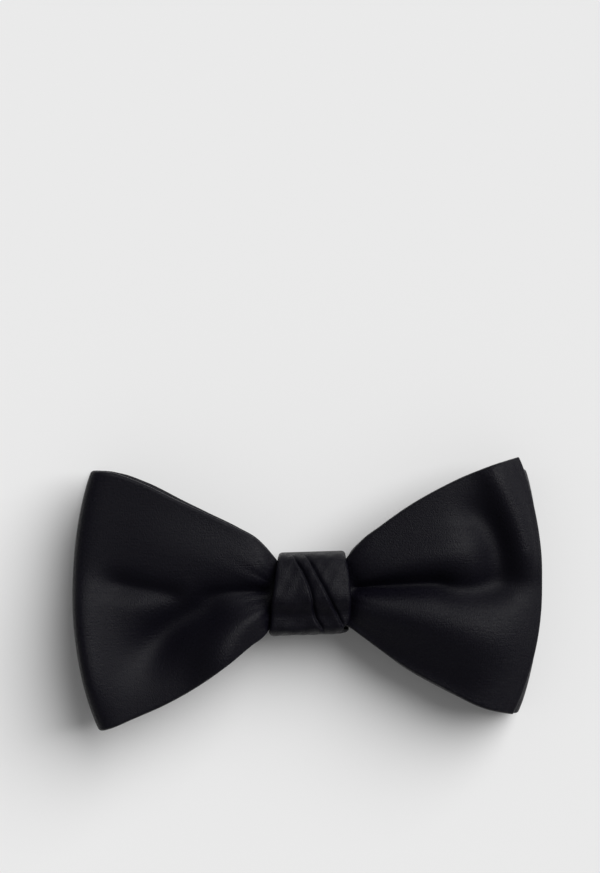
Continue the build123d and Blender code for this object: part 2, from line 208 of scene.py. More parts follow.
class FoldSettings(bpy.types.PropertyGroup):
    """How far the cloth is shaped."""

    depth: FloatProperty(
        name="Fold depth", description="Scale of the soft folds in the wings", subtype="FACTOR",
        default=1.0, min=0, max=1.5,
    )
    pleats: FloatProperty(
        name="Pleats at the knot", description="Height of the small pleats where the cloth is gathered",
        subtype="DISTANCE", default=0.00022, min=0, max=0.001, precision=5,
    )
    rows_along: IntProperty(
        name="Rows along", description="Mesh rows along each blade", default=250, min=60, max=400
    )
    rows_across: IntProperty(
        name="Rows across", description="Mesh rows across each blade", default=131, min=31, max=201
    )


class ClipSettings(bpy.types.PropertyGroup):
    """Finish of the metal clip."""

    plating: FloatVectorProperty(
        name="Plating", description="Colour of the nickel plating", subtype="COLOR", size=3,
        default=(0.62, 0.60, 0.56), min=0, max=1,
    )
    wire: FloatVectorProperty(
        name="Spring wire", description="Colour of the spring's drawn wire", subtype="COLOR", size=3,
        default=(0.36, 0.36, 0.37), min=0, max=1,
    )
    wear: FloatProperty(
        name="Wear", description="How scuffed the plating is", subtype="FACTOR", default=0.4, min=0, max=1
    )


class StageSettings(bpy.types.PropertyGroup):
    """Floor, light and camera."""

    floor: FloatVectorProperty(
        name="Floor colour", description="Colour of the pale floor", subtype="COLOR", size=3,
        default=(0.8, 0.8, 0.8), min=0, max=1,
    )
    key: FloatProperty(
        name="Key light", description="Strength of the large key light", default=3.47, min=0, max=20
    )
    fill: FloatProperty(
        name="Fill", description="Brightness of the light from all round", default=0.25, min=0, max=5
    )
    softness: FloatProperty(
        name="Softness", description="How wide the key light looks from the bow", subtype="ANGLE",
        default=0.95, min=0, max=1.5,
    )
    height: FloatProperty(
        name="Camera height", description="Height of the camera above the floor", subtype="DISTANCE",
        default=0.6325, min=0.2, max=3,
    )


def smooth_step(value):
    """Return 3t^2 - 2t^3 with t the value held between 0 and 1."""
    held = np.clip(value, 0, 1)
    return held * held * (3 - 2 * held)


def quarter_round(value):
    """Return the height of a quarter circle: sqrt(1 - (1 - t)^2), with t the value held between 0 and 1."""
    held = np.clip(value, 0, 1)
    return np.sqrt(1 - (1 - held) ** 2)


def through(points, where):
    """Return the heights at the places given of a cubic curve through points, its slopes from neighbours."""
    xs, ys = np.array(points, float).T
    slopes = np.gradient(ys, xs)
    held = np.clip(where, xs[0], xs[-1])
    left = np.clip(np.searchsorted(xs, held) - 1, 0, len(xs) - 2)
    width = xs[left + 1] - xs[left]
    t = (held - xs[left]) / width
    return (
        (1 + 2 * t) * (1 - t) ** 2 * ys[left]
        + t * (1 - t) ** 2 * width * slopes[left]
        + t * t * (3 - 2 * t) * ys[left + 1]
        + t * t * (t - 1) * width * slopes[left + 1]
    )


def soft_line(points, count, closed=False):
    """Return count points, evenly spaced, of the quadratic B-spline with these control points.

    Each piece is a parabola from the middle of one control side to the middle of the next. The open line
    starts and ends at its first and last points. The distance along the line comes with the points.
    """
    control = np.array(points, float)
    if closed:
        before, after = np.roll(control, 1, axis=0), np.roll(control, -1, axis=0)
        start, middle, end = (before + control) / 2, control, (control + after) / 2
    else:
        middle = control[1:-1]
        start, end = (control[:-2] + middle) / 2, (middle + control[2:]) / 2
        start[0], end[-1] = control[0], control[-1]
    t = np.linspace(0, 1, 41)[None, :-1, None]
    pieces = (1 - t) ** 2 * start[:, None] + 2 * t * (1 - t) * middle[:, None] + t * t * end[:, None]
    line = np.concatenate([pieces.reshape(-1, control.shape[1]), end[-1:]])
    along = np.concatenate([[0], np.cumsum(np.linalg.norm(np.diff(line, axis=0), axis=1))])
    places = np.linspace(0, along[-1], count)
    return np.stack([np.interp(places, along, axis) for axis in line.T], -1), places


def strokes(x, y, folds):
    """Return the lift at each place of a set of folds.

    A fold is a parabola with three control points. Along it stand bells, exp(-(distance / width)^2), spaced
    closely and scaled by their spacing over the bell's own breadth, so their sum is a smooth ridge of the
    stated lift that dies away at both ends.
    """
    lift = np.zeros_like(x)
    t = np.linspace(0, 1, 40)
    for x0, y0, x1, y1, x2, y2, lift_start, lift_end, width_start, width_end in folds:
        line_x = (1 - t) ** 2 * x0 + 2 * t * (1 - t) * x1 + t * t * x2
        line_y = (1 - t) ** 2 * y0 + 2 * t * (1 - t) * y1 + t * t * y2
        spacing = np.hypot(np.gradient(line_x), np.gradient(line_y))
        height = lift_start + (lift_end - lift_start) * t
        width = width_start + (width_end - width_start) * t
        for cx, cy, step, tall, wide in zip(line_x, line_y, spacing, height, width):
            distance = (x - cx) ** 2 + (y - cy) ** 2
            lift += tall * step / (wide * np.sqrt(np.pi)) * np.exp(-distance / wide**2)
    return lift


def outside_knot(x, y):
    """Return how far each place lies outside the nearer side of the knot, negative inside it."""
    return np.maximum(
        KNOT_LEFT + KNOT_LEFT_SLOPE * y - x,
        x - KNOT_RIGHT - KNOT_RIGHT_SLOPE * y,
    )


def pleats(x, y, height):
    """Return small pleats that fan out of the knot: cosines of the bearing that fade with distance."""
    reach = np.hypot(np.abs(x) - 4.0, y * 0.9)
    bearing = np.arctan2(y, np.abs(x) - 4.0)
    fade = np.exp(-np.maximum(reach - 6, 0) / 6.5) * smooth_step(outside_knot(x, y) / 2.5)
    turned = np.where(x < 0, 0.4, 1.9)
    ripple = np.cos(15 * bearing + turned) + 0.6 * np.cos(27 * bearing + 2.2 * turned)
    return height * fade * ripple


def outline(distance, share, edges, scales):
    """Return y for a share of the half height, from -1 at the lower edge to 1 at the upper edge."""
    upper, lower = edges
    top = WAIST + (through(upper, distance) - WAIST) * scales[0]
    bottom = WAIST + (through(lower, distance) - WAIST) * scales[1]
    return np.where(share > 0, share * top, share * bottom)


# Each blade's side line, the radius of its ends, the scales (upper, lower) of its left and right outlines, its
# turn in its own plane, and how its right end leans and is tucked in below
BLADES = {
    "front": {
        "line": FRONT_LINE, "end_radius": 103.0, "scales": ((1.0, 1.0), (1.0, 1.0)), "turn": 0.0,
        "right_lean": 0.026, "tuck": 0.0021,
    },
    "rear": {
        "line": REAR_LINE, "end_radius": 125.0, "scales": ((0.9, 0.95), (0.945, 0.93)), "turn": -0.046,
        "right_lean": 0.0, "tuck": 0.0012,
    },
}


def blade_ribbon(name, inset, settings):
    """Return the middle surface of a blade, its normals, the distance to its edges and the cloth's own map.

    The side line gives each row its place (px, pz). At a height y the row stands back to
    x = sqrt((|px| + R - 60)^2 - y^2) - (R - 60), so the wings end in arcs of radius R. The outline is looked
    up at x, which depends on y, so the two are settled in turns. Then the folds lift the cloth outside the
    knot, less on the loop's return layer, and small pleats are added near it. Last, the blade is turned a
    little in its own plane, and its right end moves by y times a lean, less the square of y times a tuck
    where y is below 0. The inset moves all edges inwards.
    """
    blade = BLADES[name]
    rows, columns = settings.rows_along, settings.rows_across
    line, length = soft_line(blade["line"], 2000)
    whole = length[-1]
    turn_in = np.sin(np.linspace(-np.pi / 2, np.pi / 2, 2 * END_ROWS + 1))[: END_ROWS + 1]
    ends = (0.9 * (turn_in + 1) + 0.1 * np.linspace(0, 1, END_ROWS + 1)) * END_LENGTH
    middle = np.linspace(END_LENGTH, whole - 2 * inset - END_LENGTH, rows - 2 * END_ROWS)
    places = inset + np.concatenate([ends[:-1], middle, whole - 2 * inset - ends[-2::-1]])
    row_x, row_z = (np.interp(places, length, axis)[:, None] for axis in line.T)
    even = np.linspace(-1, 1, columns)
    share = (0.88 * np.sin(even * np.pi / 2) + 0.12 * even)[None, :]

    side = np.where(row_x < 0, -1.0, 1.0)
    reach = np.abs(row_x)
    setback = blade["end_radius"] - HALF_WIDTH
    settled = smooth_step(reach / 13)
    distance = reach + 0 * share
    for _ in range(12):
        left_y = outline(distance, share, (LEFT_TOP, LEFT_BOTTOM), blade["scales"][0])
        right_y = outline(distance, share, (RIGHT_TOP, RIGHT_BOTTOM), blade["scales"][1])
        y = np.where(side < 0, left_y, right_y)
        half = (np.abs(y[:, -1:]) + np.abs(y[:, :1])) / 2
        y = y * (1 - inset / half)
        arc = np.sqrt((reach + setback) ** 2 - y * y) - (reach + setback)
        distance = reach + arc * settled
    rounded = 0.35 * np.abs(share * (1 - inset / half)) ** 16 * smooth_step((reach - 46) / 10)
    x = side * (distance - rounded)

    loop_end = np.argmax(np.abs(row_x[: rows // 2]))
    past_fold = smooth_step((places[:, None] - places[loop_end] + 5.0) / 10.0)
    gathered = smooth_step((outside_knot(x, y) + 1.2) / 4.5)
    front_lift = strokes(x, y, LEFT_FOLDS) + strokes(x, y, RIGHT_FOLDS)
    back_lift = strokes(x, y, BACK_FOLDS)
    if name == "front":
        return_lift = np.maximum(0.4 * np.minimum(front_lift, 0), -0.45)
        lift = front_lift * past_fold + return_lift * (1 - past_fold)
        lift = lift * settings.depth + pleats(x, y, settings.pleats / MM) * past_fold
    else:
        lift = back_lift * (0.4 + 0.6 * past_fold) * settings.depth
        lift += pleats(x, y, 0.5 * settings.pleats / MM)
    z = row_z + lift * gathered

    away = np.maximum(np.abs(x) - 9, 0) * np.sign(x)
    y = y + away * blade["turn"]
    x = x - y * blade["turn"] * smooth_step((np.abs(x) - 9) / 20)
    x = x + (y * blade["right_lean"] - np.minimum(y, 0) ** 2 * blade["tuck"]) * smooth_step((x - 30) / 25)
    if name == "rear":
        z = np.maximum(z, REST_HEIGHT)

    ribbon = np.stack([x, y, z], -1)
    normal = np.cross(np.gradient(ribbon, axis=0), np.gradient(ribbon, axis=1))
    normal /= np.linalg.norm(normal, axis=-1, keepdims=True)
    from_side = (1 - np.abs(share)) * half
    from_end = np.minimum(places - places[0], places[-1] - places)[:, None]
    rim = np.minimum(from_side, from_end)
    cloth = np.stack([places[:, None] + 0 * share, y], -1)
    return ribbon, normal, rim, cloth


def make_object(name, points, faces, cloth=None):
    """Make a smooth mesh object from points in millimetres, quads or triangles, and the cloth's own map."""
    mesh = bpy.data.meshes.new(name)
    loops = np.concatenate([block.ravel() for block in faces]).astype(np.int32)
    sizes = np.concatenate([np.full(len(block), block.shape[1]) for block in faces])
    mesh.vertices.add(len(points))
    mesh.vertices.foreach_set("co", (points * MM).astype(np.float32).ravel())
    mesh.loops.add(len(loops))
    mesh.loops.foreach_set("vertex_index", loops)
    mesh.polygons.add(len(sizes))
    mesh.polygons.foreach_set("loop_start", np.concatenate([[0], np.cumsum(sizes)[:-1]]).astype(np.int32))
    mesh.update(calc_edges=True)
    mesh.validate()
    mesh.polygons.foreach_set("use_smooth", np.ones(len(mesh.polygons), bool))
    if cloth is not None:
        layer = mesh.uv_layers.new(name="cloth")
        layer.data.foreach_set("uv", (cloth[loops] * MM).astype(np.float32).ravel())
    piece = bpy.data.objects.new(name, mesh)
    bpy.context.scene.collection.objects.link(piece)
    return piece


def grid_quads(index, flip=False):
    """Return the quads of a grid of vertex numbers, turned over if asked."""
    quads = np.stack([index[:-1, :-1], index[1:, :-1], index[1:, 1:], index[:-1, 1:]], -1).reshape(-1, 4)
    return quads[:, ::-1] if flip else quads


def make_shell(name, outer, inner, cloth):
    """Make a closed sheet from two grids that meet at their rims, where they share their vertices."""
    rows, columns = outer.shape[:2]
    top = np.arange(rows * columns).reshape(rows, columns)
    bottom = top.copy()
    inside = (rows - 2) * (columns - 2)
    bottom[1:-1, 1:-1] = rows * columns + np.arange(inside).reshape(rows - 2, columns - 2)
    points = np.concatenate([outer.reshape(-1, 3), inner[1:-1, 1:-1].reshape(-1, 3)])
    mapped = np.concatenate([cloth.reshape(-1, 2), cloth[1:-1, 1:-1].reshape(-1, 2)])
    return make_object(name, points, [grid_quads(top), grid_quads(bottom, flip=True)], mapped)


def make_band(name, outer, inner, cloth):
    """Make a closed ring-shaped sheet from two grids whose rows go round and whose side rims meet."""
    rows, columns = outer.shape[:2]
    top = np.arange(rows * columns).reshape(rows, columns)
    bottom = top.copy()
    bottom[:, 1:-1] = rows * columns + np.arange(rows * (columns - 2)).reshape(rows, columns - 2)
    wrapped_top, wrapped_bottom = np.vstack([top, top[:1]]), np.vstack([bottom, bottom[:1]])
    points = np.concatenate([outer.reshape(-1, 3), inner[:, 1:-1].reshape(-1, 3)])
    mapped = np.concatenate([cloth.reshape(-1, 2), cloth[:, 1:-1].reshape(-1, 2)])
    faces = [grid_quads(wrapped_top), grid_quads(wrapped_bottom, flip=True)]
    return make_object(name, points, faces, mapped)


def make_tube(name, path, radius, sides=16):
    """Make a round tube along a path, closed at both ends, with its section set square to the path.

    The section's axes are the Y axis made square to the path and the third direction, because no path here
    runs along Y.
    """
    way = np.gradient(path, axis=0)
    way /= np.linalg.norm(way, axis=1, keepdims=True)
    across = np.array([0.0, 1.0, 0.0]) - way * way[:, 1:2]
    across /= np.linalg.norm(across, axis=1, keepdims=True)
    third = np.cross(way, across)
    angle = np.linspace(0, TAU, sides, endpoint=False)[None, :, None]
    rings = path[:, None] + radius * (np.cos(angle) * across[:, None] + np.sin(angle) * third[:, None])
    count = len(path) * sides
    index = np.arange(count).reshape(len(path), sides)
    walls = grid_quads(np.hstack([index, index[:, :1]]), flip=True)
    first = np.stack([np.full(sides, count), np.roll(index[0], -1), index[0]], -1)
    last = np.stack([np.full(sides, count + 1), index[-1], np.roll(index[-1], -1)], -1)
    points = np.concatenate([rings.reshape(-1, 3), path[:1], path[-1:]])
    return make_object(name, points, [walls, first, last])


def new_group(name, inputs, outputs):
    """Start a shader node group with named inputs (name, type, default) and outputs (name, type)."""
    group = bpy.data.node_groups.new(name, "ShaderNodeTree")
    for label, kind, default in inputs:
        socket = group.interface.new_socket(label, in_out="INPUT", socket_type=kind)
        if default is not None:
            socket.default_value = default
    for label, kind in outputs:
        group.interface.new_socket(label, in_out="OUTPUT", socket_type=kind)
    return group, group.nodes.new("NodeGroupInput"), group.nodes.new("NodeGroupOutput")


def add_node(tree, kind, **values):
    """Add a node and set its inputs by name and its properties by attribute."""
    node = tree.nodes.new(kind)
    for key, value in values.items():
        if key in node.inputs:
            node.inputs[key].default_value = value
        else:
            setattr(node, key, value)
    return node


def math_node(tree, operation, first, second):
    """Add a Math node whose inputs are sockets or numbers, and return its output."""
    node = add_node(tree, "ShaderNodeMath", operation=operation)
    feed(tree, first, node.inputs[0])
    feed(tree, second, node.inputs[1])
    return node.outputs[0]


def mapped_noise(tree, vector, stretch, detail=2.0, roughness=0.6):
    """Add noise on a vector stretched by three factors, each in waves to the metre; return its value."""
    mapping = add_node(tree, "ShaderNodeMapping", Scale=stretch)
    noise = add_node(tree, "ShaderNodeTexNoise", Scale=1.0, Detail=detail, Roughness=roughness)
    tree.links.new(vector, mapping.inputs["Vector"])
    tree.links.new(mapping.outputs[0], noise.inputs["Vector"])
    return noise.outputs["Fac"]


def feed(tree, source, target):
    """Link an output to an input, or set the input if the source is a plain value."""
    if isinstance(source, bpy.types.NodeSocket):
        tree.links.new(source, target)
    else:
        target.default_value = source


def send_colour(group, entry, result, shade):
    """Send the group's colour out, scaled by a shade."""
    scaled = add_node(group, "ShaderNodeVectorMath", operation="SCALE")
    feed(group, entry.outputs["Colour"], scaled.inputs[0])
    feed(group, shade, scaled.inputs["Scale"])
    feed(group, scaled.outputs[0], result.inputs["Colour"])


def satin_group():
    """Satin weave: a glitter of floats that vary in colour, shine and height, with faint warp threads."""
    group, entry, result = new_group(
        "Satin weave",
        [("Cloth", "NodeSocketVector", None), ("Colour", "NodeSocketColor", (0, 0, 0, 1)),
         ("Grain", "NodeSocketFloat", 0.0004), ("Roughness", "NodeSocketFloat", 0.55)],
        [("Colour", "NodeSocketColor"), ("Roughness", "NodeSocketFloat"), ("Height", "NodeSocketFloat")],
    )
    waves = math_node(group, "DIVIDE", 1.0, entry.outputs["Grain"])
    scaled = add_node(group, "ShaderNodeVectorMath", operation="SCALE")
    group.links.new(entry.outputs["Cloth"], scaled.inputs[0])
    group.links.new(waves, scaled.inputs["Scale"])
    glitter = mapped_noise(group, scaled.outputs[0], (1.0, 0.62, 1.0), 2.5, 0.65)
    threads = mapped_noise(group, scaled.outputs[0], (0.02, 2.2, 1.0), 1.0, 0.5)
    cloudy = mapped_noise(group, scaled.outputs[0], (0.016, 0.022, 1.0), 3.0, 0.6)
    spread = add_node(group, "ShaderNodeMapRange")
    spread.inputs["From Min"].default_value, spread.inputs["From Max"].default_value = 0.3, 0.72
    spread.inputs["To Min"].default_value, spread.inputs["To Max"].default_value = 0.55, 1.5
    group.links.new(glitter, spread.inputs["Value"])
    send_colour(group, entry, result, spread.outputs[0])
    rougher = math_node(group, "MULTIPLY", math_node(group, "SUBTRACT", cloudy, 0.5), 0.16)
    glint = math_node(group, "MULTIPLY", math_node(group, "SUBTRACT", glitter, 0.5), 0.9)
    shine = math_node(group, "ADD", rougher, glint)
    group.links.new(math_node(group, "ADD", entry.outputs["Roughness"], shine), result.inputs["Roughness"])
    height = math_node(group, "ADD", glitter, math_node(group, "MULTIPLY", threads, 0.35))
    group.links.new(height, result.inputs["Height"])
    return group


def canvas_group():
    """Plain canvas: two sets of threads crossing over and under, with slubs."""
    group, entry, result = new_group(
        "Canvas weave",
        [("Cloth", "NodeSocketVector", None), ("Colour", "NodeSocketColor", (1, 1, 1, 1)),
         ("Thread", "NodeSocketFloat", 0.0005)],
        [("Colour", "NodeSocketColor"), ("Height", "NodeSocketFloat")],
    )
    split = add_node(group, "ShaderNodeSeparateXYZ")
    scaled = add_node(group, "ShaderNodeVectorMath", operation="SCALE")
    group.links.new(entry.outputs["Cloth"], scaled.inputs[0])
    group.links.new(math_node(group, "DIVIDE", np.pi, entry.outputs["Thread"]), scaled.inputs["Scale"])
    group.links.new(scaled.outputs[0], split.inputs[0])
    weave = math_node(
        group, "MULTIPLY",
        math_node(group, "SINE", split.outputs[0], 0.0), math_node(group, "SINE", split.outputs[1], 0.0),
    )
    slubs = mapped_noise(group, scaled.outputs[0], (0.06, 0.5, 1.0))
    faint = math_node(group, "MULTIPLY", weave, 0.09)
    shade = math_node(group, "ADD", faint, math_node(group, "ADD", slubs, 0.42))
    send_colour(group, entry, result, shade)
    group.links.new(weave, result.inputs["Height"])
    return group


def plating_group():
    """Plated metal: brushing along X, duller scuffs, and paler spots where handling has rubbed it."""
    group, entry, result = new_group(
        "Worn plating",
        [("Place", "NodeSocketVector", None), ("Colour", "NodeSocketColor", (1, 1, 1, 1)),
         ("Roughness", "NodeSocketFloat", 0.3), ("Wear", "NodeSocketFloat", 0.4)],
        [("Colour", "NodeSocketColor"), ("Roughness", "NodeSocketFloat"), ("Height", "NodeSocketFloat")],
    )
    brushed = mapped_noise(group, entry.outputs["Place"], (900, 9000, 9000), 2.0, 0.6)
    scuffs = mapped_noise(group, entry.outputs["Place"], (420, 420, 420), 5.0, 0.7)
    worn = math_node(group, "MULTIPLY", math_node(group, "SUBTRACT", scuffs, 0.45), entry.outputs["Wear"])
    shade = math_node(group, "SUBTRACT", 1.0, worn)
    send_colour(group, entry, result, shade)
    streaks = math_node(group, "MULTIPLY", math_node(group, "SUBTRACT", brushed, 0.5), 0.22)
    dull = math_node(group, "ADD", entry.outputs["Roughness"], streaks)
    group.links.new(math_node(group, "ADD", dull, worn), result.inputs["Roughness"])
    group.links.new(brushed, result.inputs["Height"])
    return group


def thread_group():
    """Twisted thread: slanting stripes of two plies in the object's own space."""
    group, entry, result = new_group(
        "Thread twist",
        [("Place", "NodeSocketVector", None), ("Colour", "NodeSocketColor", (0, 0, 0, 1)),
         ("Twist", "NodeSocketFloat", 0.0004)],
        [("Colour", "NodeSocketColor"), ("Height", "NodeSocketFloat")],
    )
    slant = add_node(group, "ShaderNodeVectorMath", operation="DOT_PRODUCT")
    slant.inputs[1].default_value = (0.7, 0.5, 0.5)
    group.links.new(entry.outputs["Place"], slant.inputs[0])
    turns = math_node(group, "DIVIDE", slant.outputs["Value"], entry.outputs["Twist"])
    stripe = math_node(group, "SINE", math_node(group, "MULTIPLY", turns, TAU), 0.0)
    shade = math_node(group, "ADD", math_node(group, "MULTIPLY", stripe, 0.3), 1.0)
    send_colour(group, entry, result, shade)
    group.links.new(stripe, result.inputs["Height"])
    return group


def new_material(name, group_maker, source, inputs, bump, **constants):
    """Make a material, or return it if it is there, whose group drives its colour, roughness and bump.

    The source is "Object" for the object's own space, or the name of the cloth's map.
    """
    if name in bpy.data.materials:
        return bpy.data.materials[name]
    material = bpy.data.materials.new(name)
    material.use_nodes = True
    tree = material.node_tree
    shader = tree.nodes["Principled BSDF"]
    for key, value in constants.items():
        shader.inputs[key.replace("_", " ")].default_value = value
    pattern = tree.nodes.new("ShaderNodeGroup")
    pattern.node_tree = group_maker()
    if source == "Object":
        place = tree.nodes.new("ShaderNodeTexCoord")
        feed(tree, place.outputs["Object"], pattern.inputs["Place"])
    else:
        cloth = add_node(tree, "ShaderNodeUVMap", uv_map=source)
        feed(tree, cloth.outputs["UV"], pattern.inputs["Cloth"])
    for key, value in inputs.items():
        pattern.inputs[key].default_value = value
    feed(tree, pattern.outputs["Colour"], shader.inputs["Base Color"])
    if "Roughness" in pattern.outputs:
        feed(tree, pattern.outputs["Roughness"], shader.inputs["Roughness"])
    strength, distance = bump
    relief = add_node(tree, "ShaderNodeBump", Strength=strength, Distance=distance)
    feed(tree, pattern.outputs["Height"], relief.inputs["Height"])
    feed(tree, relief.outputs[0], shader.inputs["Normal"])
    return material


def satin_material(settings):
    """Black satin: nearly black dye under a broad, weak shine."""
    return new_material(
        "Black satin", satin_group, "cloth",
        {"Colour": (*settings.colour, 1), "Grain": settings.grain, "Roughness": settings.roughness},
        (1.0, 0.00018), Specular_IOR_Level=settings.gloss,
    )


def canvas_material(settings):
    """Woven canvas of the interlining."""
    return new_material(
        "Canvas", canvas_group, "cloth", {"Colour": (*settings.canvas, 1), "Thread": 0.0005},
        (0.6, 0.00006), Roughness=0.9, Sheen_Weight=0.2,
    )


def wadding_material(settings):
    """Soft wadding inside the knot."""
    return new_material(
        "Cotton wadding", canvas_group, "cloth", {"Colour": (0.75, 0.74, 0.72, 1), "Thread": 0.0011},
        (0.5, 0.00015), Roughness=1.0, Sheen_Weight=0.5,
    )


def thread_material():
    """Black sewing thread."""
    return new_material(
        "Sewing thread", thread_group, "Object", {"Colour": (0.012, 0.012, 0.014, 1), "Twist": 0.00045},
        (0.6, 0.00005), Roughness=0.6, Specular_IOR_Level=0.3, Sheen_Weight=0.2,
    )


def plating_material(name, colour, roughness, wear):
    """Plated or drawn steel."""
    return new_material(
        name, plating_group, "Object",
        {"Colour": (*colour, 1), "Roughness": roughness, "Wear": wear}, (0.12, 0.00002), Metallic=1.0,
    )


def finish_piece(piece, material, slot, *nodes):
    """Give a piece its material, and hide the CAD nodes that it replaces, if any. The slot is not used."""
    piece.data.materials.clear()
    piece.data.materials.append(material)
    if nodes:
        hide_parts(*nodes)


def build_blade(name):
    """Make one blade: its face panel, its back panel and the interlining between them.

    The two panels meet at a seam a little behind the middle. From there each outside rises to its full
    depth as a quarter circle of the distance to the rim, so the face panel rolls over the edge.
    """
    cloth, folds = bpy.context.scene.bow_satin, bpy.context.scene.bow_folds
    ribbon, normal, rim, flat = blade_ribbon(name, 0.0, folds)
    rim, seam = rim[..., None], SEAM_LEVEL
    beside = np.exp(-((rim - PUCKER_PLACE) / PUCKER_BREADTH) ** 2)
    pucker = PUCKER * np.sin(flat[..., :1] * TAU / PUCKER_SPACING) * beside
    face_out = ribbon + normal * (seam + (PANEL_OUT - seam) * quarter_round(rim / RIM_ROLL) + pucker)
    face_in = ribbon + normal * (seam + (PANEL_IN - seam) * smooth_step(rim / LINING_ROLL))
    back_out = ribbon + normal * (seam - (PANEL_OUT + seam) * quarter_round(rim / RIM_ROLL) - pucker)
    back_in = ribbon + normal * (seam - (PANEL_IN + seam) * smooth_step(rim / LINING_ROLL))
    face = make_shell(f"{name}_face_panel", face_out, face_in, flat)
    back = make_shell(f"{name}_back_panel", back_in, back_out, flat)
    inner, inner_normal, inner_rim, inner_flat = blade_ribbon(name, SEAM_INSET, folds)
    thickness = INTERLINING_HALF * quarter_round(inner_rim / INTERLINING_ROLL)[..., None]
    canvas = make_shell(
        f"{name}_interlining", inner + inner_normal * thickness, inner - inner_normal * thickness, inner_flat
    )
    finish_piece(face, satin_material(cloth), "black_satin", f"{name}_blade_face")
    finish_piece(back, satin_material(cloth), "black_satin", f"{name}_blade_back")
    finish_piece(canvas, canvas_material(cloth), "interlining", f"{name}_blade_interlining")
    for piece in (face, back, canvas):
        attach(piece, "bow")


def knot_surface(inset):
    """Return the knot band's outer surface, the section's normals, the distance to its sides and its map.

    The section is a rounded loop in the YZ plane. Across it, x runs from the left side to the right side,
    each moved inwards by the inset. Two folds cross the front: left of each fold's line the cloth swells to
    a lip, about 0.35 * exp(-(q/1.8)^2), and right of it it drops into a groove, about
    0.9 * exp(-(q/0.95)^2), with q the distance from the line. Both fade towards the sides, the top and the
    bottom. Both sides bulge at the front, the lower right corner of the front is cut back, and the front
    rolls down to its right side. The stitched line behind is a narrow dip, and a small ripple covers the
    front.
    """
    section, place = soft_line(KNOT_SECTION, 301, closed=True)
    section, place = section[:-1], place[:-1]
    tangent = np.roll(section, -1, axis=0) - np.roll(section, 1, axis=0)
    tangent /= np.linalg.norm(tangent, axis=1, keepdims=True)
    out = np.stack([-tangent[:, 1], tangent[:, 0]], -1)
    y, z = section[:, :1], section[:, 1:]
    front = smooth_step((z - 8) / 9)
    top = section[:, 1] > 14
    middle = place[top][np.argmin(np.abs(section[top, 0]))]
    down = (middle - place)[:, None]

    swell = front * (1 - (y / 10.6) ** 2)
    left = KNOT_LEFT + KNOT_LEFT_SLOPE * y - 0.25 * swell + inset
    lower_cut = 1.5 * smooth_step((-y - 5.5) / 4.6) * front
    right = KNOT_RIGHT + KNOT_RIGHT_SLOPE * y + 0.75 * swell - lower_cut - inset
    share = (np.sin(np.linspace(np.pi / 2, -np.pi / 2, 131)) * 0.45 + np.linspace(1, -1, 131) * 0.55 + 1) / 2
    x = left + (right - left) * share[None, :]

    rim = np.minimum(x - left, right - x)
    fade = (1 - smooth_step((np.abs(down) - 8.2) / 3.6)) * smooth_step((rim + inset) / 1.9)
    height = np.zeros_like(x)
    for fold, lip, groove in ((KNOT_FOLD_ONE, 0.34, 0.95), (KNOT_FOLD_TWO, 0.36, 0.9)):
        q = (x - through(fold, np.clip(down, -14, 14))) * 0.95
        past = smooth_step((q + 0.05) / 0.42)
        swollen, sunk = lip * np.exp(-((q / 1.8) ** 2)), groove * np.exp(-((q / 0.95) ** 2))
        height += fade * (swollen * (1 - past) - sunk * past)
    height += 0.35 * front * (np.cos((x - 4.6) * 0.42) - 1) * smooth_step((x - 6) / 4)
    height -= 0.2 * np.exp(-(((y + 6.6) / 0.3) ** 2)) * (1 - smooth_step((z - 5.6) / 0.5))
    height += 0.10 * np.sin(down * 0.9 + x * 0.5) * np.sin(x * 1.3) * front
    surface = np.stack([x, y + out[:, :1] * height, z + out[:, 1:] * height], -1)
    section_normal = np.stack([0 * x, out[:, :1] + 0 * x, out[:, 1:] + 0 * x], -1)
    flat = np.stack([x, place[:, None] + 0 * x], -1)
    return surface, section_normal, rim, flat


def build_knot():
    """Make the knot: a satin band with two folds across its front, and the interlining inside it."""
    cloth = bpy.context.scene.bow_satin
    surface, out, rim, flat = knot_surface(0.0)
    rim = rim[..., None]
    skin = make_band(
        "knot_band_satin",
        surface + out * (KNOT_EDGE - KNOT_EDGE * quarter_round(rim / 1.15)),
        surface + out * (KNOT_EDGE + (KNOT_IN - KNOT_EDGE) * smooth_step(rim / 1.5)),
        flat,
    )
    inner, inner_out, inner_rim, inner_flat = knot_surface(KNOT_LINING_INSET)
    roll = KNOT_LINING_HALF * quarter_round(inner_rim / 0.35)[..., None]
    lining = make_band(
        "knot_interlining_band",
        inner + inner_out * (KNOT_LINING + roll), inner + inner_out * (KNOT_LINING - roll), inner_flat,
    )
    finish_piece(skin, satin_material(cloth), "black_satin", "knot_band")
    finish_piece(lining, canvas_material(cloth), "interlining", "knot_band_interlining")
    for piece, width in ((skin, KNOT_WIDTH * MM), (lining, KNOT_LINING_WIDTH * MM)):
        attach(piece, "bow")


